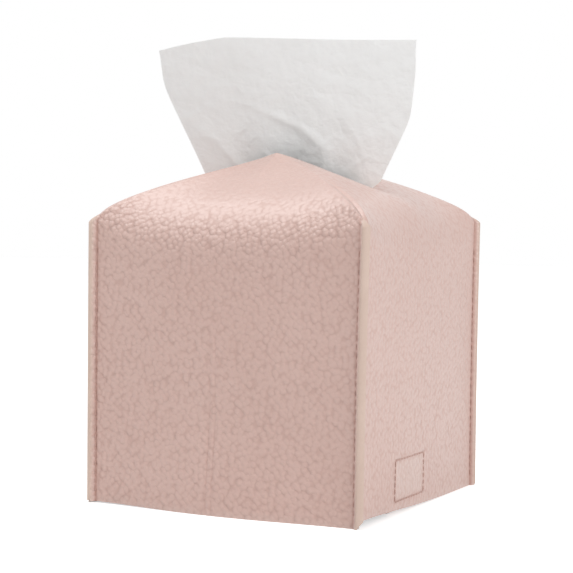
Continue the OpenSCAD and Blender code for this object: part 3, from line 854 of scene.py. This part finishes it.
def rounded_outline(low, high, radii):
    """Points round an oblong, anticlockwise from its low corner, with a radius at each corner."""
    points = []
    for quarter, ((sx, sy), radius) in enumerate(zip([(-1, -1), (1, -1), (1, 1), (-1, 1)], radii)):
        corner = np.array([high[0] if sx > 0 else low[0], high[1] if sy > 0 else low[1]])
        turn = np.pi + quarter * np.pi / 2 + np.linspace(0, np.pi / 2, 9)
        arc = np.stack([np.cos(turn), np.sin(turn)], 1)
        points.append(corner - radius * np.array([sx, sy]) + radius * arc)
    return np.concatenate(points)


def strap(name, low, high, radii):
    """A flat strap in an upright box, cut to an outline with round corners and with a full round edge."""
    round_edge = (high[2] - low[2]) / 2
    rings = []
    for turn in np.linspace(-np.pi / 2, np.pi / 2, 9):
        inset = round_edge * (1 - np.cos(turn))
        ring = rounded_outline(np.array(low[:2]) + inset, np.array(high[:2]) - inset,
                               [radius - inset for radius in radii])
        level = (low[2] + high[2]) / 2 + round_edge * np.sin(turn)
        rings.append(np.insert(ring, 2, level, axis=1))
    return swept_rings(name, np.array(rings), False)


for name, free_end in (("outer", -1), ("inner", 1)):
    low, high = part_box(f"belt_{name}_half")
    big_round = (high.y - low.y) * strap_round_share
    radii = [big_round if end == free_end else small_round for end in (-1, 1, 1, -1)]
    dress(strap(f"belt_{name}_strap", low, high, radii), f"{name}_belt", "belt_leather", belt_leather,
          f"belt_{name}_half")


def bent_strap(name, path, thick, low_y, high_y):
    """A strap bent along a path in X and Z, with full round long edges."""
    run = unit(np.gradient(path, axis=0))
    outward = np.stack([-run[:, 1], run[:, 0]], 1)
    turn = np.linspace(0.2, np.pi / 2, 6)
    insets, thins = thick / 2 * (1 - np.cos(turn)), np.sin(turn)
    levels = np.concatenate([low_y + insets, (high_y - insets)[::-1]])
    rings = []
    for y, thin in zip(levels, np.concatenate([thins, thins[::-1]])):
        ring = np.concatenate([path + outward * thin * thick / 2, (path - outward * thin * thick / 2)[::-1]])
        rings.append(np.insert(ring, 1, y, axis=1))
    return swept_rings(name, np.array(rings), False)


strap_low, strap_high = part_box("belt_outer_half")
belt_t = strap_high.z - strap_low.z
# Radius of a tab's middle line where it turns up along the wall
tab_bend_r = 0.51 * belt_t
for side, name in ((1, "right"), (-1, "left")):
    low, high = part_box(f"belt_tab_{name}")
    foot_x, wall_x = (low.x, high.x) if side > 0 else (high.x, low.x)
    turn = np.linspace(-np.pi / 2, 0, 7)
    bend = np.stack([np.cos(turn), np.sin(turn)], 1) * [side, 1] * tab_bend_r
    centre = np.array([wall_x, low.z]) + np.array([-side, 1]) * (belt_t / 2 + tab_bend_r)
    upright = [[wall_x - side * belt_t / 2, z] for z in np.linspace(low.z + 2 * belt_t, high.z, 8)]
    path = np.concatenate([[[foot_x, low.z + belt_t / 2]], centre + bend, upright])
    dress(bent_strap(f"belt_{name}_tab_leather", path, belt_t, low.y, high.y), "cover", "belt_leather",
          belt_leather, f"belt_tab_{name}")

# Hook and loop tape closes the belt: a woven ground with a selvedge all round,
# sewn to each strap's lapped end. The loops stand up from the outer strap, and
# the hooks hang down from the inner one.
ground_t = 0.35 * mm
pile_pitch, pile_edge = 1.5 * mm, 1.8 * mm
fibre_r = 0.065 * mm
pile_scatter_mm = 0.2
tape_seam = 1.1 * mm
tape_colour, tape_other = (0.780, 0.720, 0.680, 1), (0.720, 0.650, 0.610, 1)
tape_shade, tape_ribs = (0.60, 0.53, 0.49, 1), (("X", 520.0), ("Y", 380.0))
tape_drift, rib_tone, rib_depth = 8 * mm, 0.3, 0.06 * mm
scatter = np.random.default_rng(12)


def make_fastening_tape():
    """Fastening tape: fine woven ribs both ways, off-white, with a slight nylon gloss."""
    made, tree, shader = new_material("fastening_tape", 0.6, Specular_IOR_Level=0.4, Sheen_Weight=0.2)
    place = object_place(tree)
    colour = drifting(tree, place, tape_colour, tape_other, tape_drift)
    ribs = [node(tree, "TexWave", {"Vector": place, "Scale": scale, "Distortion": 0.6},
                 bands_direction=way).outputs["Fac"] for way, scale in tape_ribs]
    weave = maths(tree, "MAXIMUM", *ribs)
    shaded = blend_colour(tree, times(tree, weave, rib_tone), tape_shade, colour)
    finish_shader(tree, shader, shaded, weave, rib_depth)
    return made


def pile(name, low, high, root_z, rise, outline):
    """Rows of small fibres that stand on a tape, with an outline across and up, in shares of their height."""
    xs = np.arange(low.x + pile_edge, high.x - pile_edge, pile_pitch)
    ys = np.arange(low.y + pile_edge, high.y - pile_edge, pile_pitch)
    roots = np.stack(np.meshgrid(xs, ys), -1).reshape(-1, 2)
    roots += scatter.uniform(-pile_scatter_mm, pile_scatter_mm, roots.shape) * mm
    turn = scatter.uniform(0, np.pi, len(roots))
    across = np.stack([np.cos(turn), np.sin(turn), np.zeros(len(roots))], 1)
    start = np.insert(roots, 2, root_z, axis=1)
    paths = (start[:, None] + across[:, None] * (outline[:, :1] * abs(rise))
             + np.array([0, 0, 1]) * (outline[:, 1:] * rise))
    return new_piece(name, *small_tubes(paths, np.cross(across, [0, 0, 1]), fibre_r, 4), 60)


fastening_tape = make_fastening_tape()
arch = np.linspace(0, np.pi, 7)
loop_outline = np.stack([0.9 * np.cos(arch), np.sin(arch)], 1)
hook_outline = np.array([[0, 0], [0, 0.55], [0.05, 0.8], [0.25, 1], [0.5, 0.98], [0.66, 0.8], [0.66, 0.6]])
for name, half_name, up, outline in (("loop", "outer", 1, loop_outline), ("hook", "inner", -1, hook_outline)):
    body = f"{half_name}_belt"
    low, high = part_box(f"{name}_tape")
    glued, free = (low.z, high.z) if up > 0 else (high.z, low.z)
    ground = glued + up * ground_t
    base_low = Vector((low.x, low.y, min(glued, ground)))
    base_high = Vector((high.x, high.y, max(glued, ground)))
    dress(strap(f"{name}_tape_ground", base_low, base_high, [small_round] * 4), body, "fastening_tape",
          fastening_tape, f"{name}_tape")
    dress(pile(f"{name}_tape_pile", low, high, ground, free - ground - up * fibre_r, outline), body,
          "fastening_tape", fastening_tape, f"{name}_tape")
    strap_low, strap_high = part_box(f"belt_{half_name}_half")
    centre = np.array([(low.x + high.x) / 2, (low.y + high.y) / 2, 0])
    half_wide, half_high = (high.x - low.x) / 2 - tape_seam, (high.y - low.y) / 2 - tape_seam
    ends = oblong_stitches(centre, half_wide, half_high, (1, 0, 0), (0, 1, 0))
    for face, level, out in (("tape", ground, up), ("strap", strap_low.z if up > 0 else strap_high.z, -up)):
        lifted = [points + [0, 0, level] for points in ends]
        outs = np.repeat([[0, 0, float(out)]], len(lifted[0]), axis=0)
        dress(stitches(f"{name}_stitches_on_{face}", *lifted, outs), body, "sewing_thread", sewing_thread)

# The tissue stands in the slit: one soft double sheet, gathered where the slit
# holds it and fanned out above, with its left end swung forward and its right
# end back. Only the part above the carton is made, with a short tail below.
tissue_z, tail_z = 200.7 * mm, 119 * mm
tissue_left_w, tissue_right_w = 58.2 * mm, 54.4 * mm
tail_half_w = slit_half_l - 2.1 * mm
slit_level = (peak_z - slit_drop - tail_z) / (tissue_z - tail_z)
tissue_t = 0.4 * mm
# Each side fans out from the slit's end at first quickly, then evenly, and then
# hangs straight: its shares of the whole fanning out, and how round the turn is
left_fan, right_fan = (0.074, 1.23, 0.12), (0.17, 1.75, 0.10)
spill_share = 0.08
# The top edge: where it is highest, how far it drops from there to each end, and how
# far and from which share of the fanning out its corners turn in
top_crown, crown_left_drop, crown_right_drop = -0.45, 5.0 * mm, 2.1 * mm
corner_in, corner_from = 1.2 * mm, 0.75
# The gathers: their depth, how many waves they make from the middle to an end, where
# they start, how they drift as the sheet fans out, and how far they fade. Then the long
# folds' depth and where they end, and the swing of the top edge
gather_depth, gather_waves, gather_start, gather_drift, gather_fade = 0.7 * mm, 1.9, 0.1, 0.35, 0.85
long_fold_depth, long_fold_top = 0.9 * mm, 0.78
right_fold_u, right_fold_v, right_fold_curve, right_fold_w = 0.38, 0.3, 6.3, 0.075
left_fold_u, left_fold_v, left_fold_slant, left_fold_w = -0.6, 0.345, 1.35, 0.08
tissue_swing, swing_middle, swing_curl = 16 * mm, 0.2, 0.18
# Short creases: each one's middle across and up, its slant, its width and its height
tissue_creases = [
    (0.30, 0.42, 1.6, 0.020, 0.50), (-0.20, 0.36, -2.2, 0.024, 0.45), (-0.45, 0.52, 1.1, 0.018, 0.35),
    (0.55, 0.50, -1.4, 0.022, 0.40), (0.05, 0.60, 0.7, 0.020, 0.25), (0.72, 0.34, 2.4, 0.020, 0.60),
    (-0.70, 0.44, -0.9, 0.022, 0.40), (0.40, 0.72, -0.5, 0.020, 0.20), (-0.30, 0.78, 0.35, 0.020, 0.18)]
crease_half_l = 0.10
tissue_colour, tissue_other = (0.960, 0.962, 0.954, 1), (0.940, 0.942, 0.932, 1)
tissue_fibre, fibre_turns, fibre_stretch = (0.70, 0.69, 0.67, 1), (0.5, 1.7, 2.6), (1, 1, 5)
web_scale, web_tone, web_height = 900.0, 0.08, 0.10
# Faint creases in the paper: cells a good centimetre wide, bent by noise
cell_scale, cell_bend_scale, cell_bend, cell_edge, cell_height = 75.0, 70.0, 16 * mm, 0.4, 0.28
soft_scale, soft_height, paper_depth = 110.0, 1.25, 1 * mm


def fan_out(fanned, spill, slope, turn):
    """A rounded ramp: a quick spill over the lip, an even slope, and level once it has reached 1."""
    ramp = spill * ease(fanned / spill_share) + slope * fanned
    level = (ramp + 1 - np.sqrt((ramp - 1) ** 2 + turn ** 2)) / 2
    start = (1 - np.sqrt(1 + turn ** 2)) / 2
    return level - start


def tissue_middle(u, v):
    """Middle of the tissue, from u = -1 to 1 across and v = 0 to 1 up: gathers at the slit, two long folds,
    the right-hand one along a parabola and the left-hand one at a slant, and the swing of its top edge."""
    fanned = np.clip((v - slit_level) / (1 - slit_level), 0, 1)
    left, right = (tail_half_w + (width - tail_half_w) * fan_out(fanned, *fan)
                   for width, fan in ((tissue_left_w, left_fan), (tissue_right_w, right_fan)))
    wide = mixed(left, right, ease((u + 1) / 2))
    wide = wide - corner_in * ease((fanned - corner_from) / (1 - corner_from)) * np.abs(u) ** 6
    drop = np.where(u < top_crown, crown_left_drop * (np.abs(u - top_crown) / (1 + top_crown)) ** 1.2,
                    crown_right_drop * (u - top_crown) / (1 - top_crown))
    waves = np.sin(2 * np.pi * (gather_waves * u + gather_start + gather_drift * fanned))
    gathers = gather_depth * (1 - gather_fade * ease(fanned * 1.6)) * waves
    right_fold = bump_at(u, right_fold_u - right_fold_curve * (v - right_fold_v) ** 2, right_fold_w)
    left_fold = bump_at(u, left_fold_u - left_fold_slant * (v - left_fold_v), left_fold_w)
    long_folds = long_fold_depth * ease((long_fold_top - v) / 0.3) * (right_fold + left_fold)
    swing = tissue_swing * fanned ** 1.3 * (u - swing_middle + swing_curl * np.sin(np.pi * u))
    out = (gathers - long_folds) * (1 - np.abs(u) ** 3) + swing
    return np.stack([wide * u, out, tail_z + (tissue_z - drop - tail_z) * v], -1)


def crumple(u, v):
    """Fine creases: short soft ridges that cross the sheet at a slant, and a slow roll, both in metres."""
    low = ease((0.85 - v) / 0.6)
    total = np.zeros_like(u)
    for at_u, at_v, slant, width, height in tissue_creases:
        off = (u - at_u) - slant * (v - at_v)
        along = (v - at_v) + slant * 0.3 * (u - at_u)
        total += height * bump_at(off, 0, width) * bump_at(along, 0, crease_half_l)
    rolls = 0.5 * np.sin(9 * u + 5 * v) * np.sin(7 * v - 4 * u + 1) + 0.25 * np.sin(17 * u - 6 * v + 2)
    return (total * low + rolls * 0.35 * ease(v / 0.4)) * mm


def tissue_sheet(rows, columns):
    """A thin closed sheet about the tissue's middle surface."""
    u, v = np.meshgrid(np.linspace(-1, 1, columns), rows)
    middle = tissue_middle(u, v)
    across, up = np.gradient(middle, axis=1), np.gradient(middle, axis=0)
    out = unit(np.cross(across, up))
    middle = middle + out * (crumple(u, v) * (1 - u ** 6) * (1 - v ** 8))[..., None]
    across, up = np.gradient(middle, axis=1), np.gradient(middle, axis=0)
    out = unit(np.cross(across, up)) * tissue_t / 2
    grid = np.stack([middle + out, middle - out])
    index = np.arange(grid[..., 0].size).reshape(grid.shape[:3])
    foot, right, top, left = index[:, 0], index[:, :, -1], index[:, -1], index[:, :, 0]
    rim = np.concatenate([foot[:, :-1], right[:, :-1], top[:, :0:-1], left[:, :0:-1]], 1)
    beyond = np.roll(rim, -1, axis=1)
    faces = np.concatenate([band(index[0, 1:], index[0, :-1]), band(index[1, :-1], index[1, 1:]),
                            quads(rim[0], rim[1], beyond[1], beyond[0])])
    return new_piece("tissue_sheet", grid.reshape(-1, 3), faces, 60)


def make_tissue_paper():
    """Soft tissue paper: pale fibres drawn out every way, faint creases and mottle, and a matte white."""
    made, tree, shader = new_material(
        "tissue_paper", 0.95, Specular_IOR_Level=0.1, Sheen_Weight=0.15, Subsurface_Weight=0.4,
        Subsurface_Radius=(1, 1, 1), Subsurface_Scale=3 * mm)
    place = object_place(tree)
    webs = [noise(tree, turned(tree, place, (0, turn, 0), fibre_stretch), web_scale, 4.0)
            for turn in fibre_turns]
    web = maths(tree, "MAXIMUM", webs[0], maths(tree, "MAXIMUM", webs[1], webs[2]))
    drifted = drifting(tree, place, tissue_colour, tissue_other, 16 * mm)
    fibred = blend_colour(tree, times(tree, web, web_tone), drifted, tissue_fibre)
    bent = warped(tree, place, cell_bend_scale, cell_bend, 0.0)
    cells = node(tree, "TexVoronoi", {"Vector": bent, "Scale": cell_scale},
                 feature="DISTANCE_TO_EDGE").outputs["Distance"]
    creases = spread(tree, cells, 0.0, cell_edge, "LINEAR")
    soft = noise(tree, place, soft_scale, 3.0)
    height = plus(tree, times(tree, web, web_height), (creases, cell_height), (soft, soft_height))
    finish_shader(tree, shader, fibred, height, paper_depth)
    return made


tissue_paper = make_tissue_paper()
tissue_rows = np.concatenate([np.linspace(0, slit_level, 8)[:-1], np.linspace(slit_level, 1, 74)])
tissue = tissue_sheet(tissue_rows, 121)
dress(tissue, "pulled_tissue", "tissue_paper", tissue_paper, "tissue")

# The stage is a pale floor and a white surround, lit by a wide soft lamp above,
# one from the right, a smaller one from the front and an even white sky.
floor_size, floor_glow = 12.0, 0.54
sky_strength = 0.515


def directly_seen(tree):
    """1 where the camera, a gloss or clear glass looks at the surface, and 0 for the light that it gives."""
    path = node(tree, "LightPath", {}).outputs
    glossy = maths(tree, "MAXIMUM", path["Is Camera Ray"], path["Is Glossy Ray"])
    return maths(tree, "MAXIMUM", glossy, path["Is Transmission Ray"])


def make_stage():
    """A wide square floor that catches the shadow and shows as white where nothing shades it."""
    corners_at = np.array([[-1, -1, 0], [1, -1, 0], [1, 1, 0], [-1, 1, 0]]) * floor_size / 2
    floor = new_piece("floor", corners_at, [[0, 1, 2, 3]])
    made, tree, shader = new_material("floor", 0.8, Specular_IOR_Level=0.1, Base_Color=(0.86, 0.86, 0.86, 1),
                                      Emission_Color=(1, 1, 1, 1))
    tree.links.new(times(tree, directly_seen(tree), floor_glow), shader.inputs["Emission Strength"])
    floor.data.materials.append(made)


def make_world(strength):
    """An even white sky: full white where the camera or a gloss sees it, and dimmer as light."""
    world = bpy.data.worlds.new("sky")
    bpy.context.scene.world = world
    world.use_nodes = True
    tree = world.node_tree
    power = plus(tree, strength, (directly_seen(tree), 1 - strength))
    background = tree.nodes["Background"]
    background.inputs["Color"].default_value = (1, 1, 1, 1)
    tree.links.new(power, background.inputs["Strength"])


def soft_lamp(name, place, target, size, power):
    """A square area lamp that faces its target."""
    data = bpy.data.lights.new(name, "AREA")
    data.shape = "SQUARE"
    data.size = size
    data.energy = power
    lamp = bpy.data.objects.new(name, data)
    lamp.location = place
    lamp.rotation_euler = (Vector(target) - Vector(place)).to_track_quat("-Z", "Y").to_euler()
    bpy.context.scene.collection.objects.link(lamp)


make_stage()
make_world(sky_strength)
# Each lamp's place, size and power. All of them face the cover's middle
for name, place, size, power in (("top_lamp", (-0.36, -0.06, 1.1), 0.7, 4.4),
                                 ("right_lamp", (1.35, -0.4, 0.7), 0.9, 7.4),
                                 ("front_lamp", (-0.55, -0.7, 0.95), 0.35, 1.35)):
    soft_lamp(name, place, (0, 0, 0.08), size, power)

bpy.context.scene.view_settings.view_transform = "Standard"
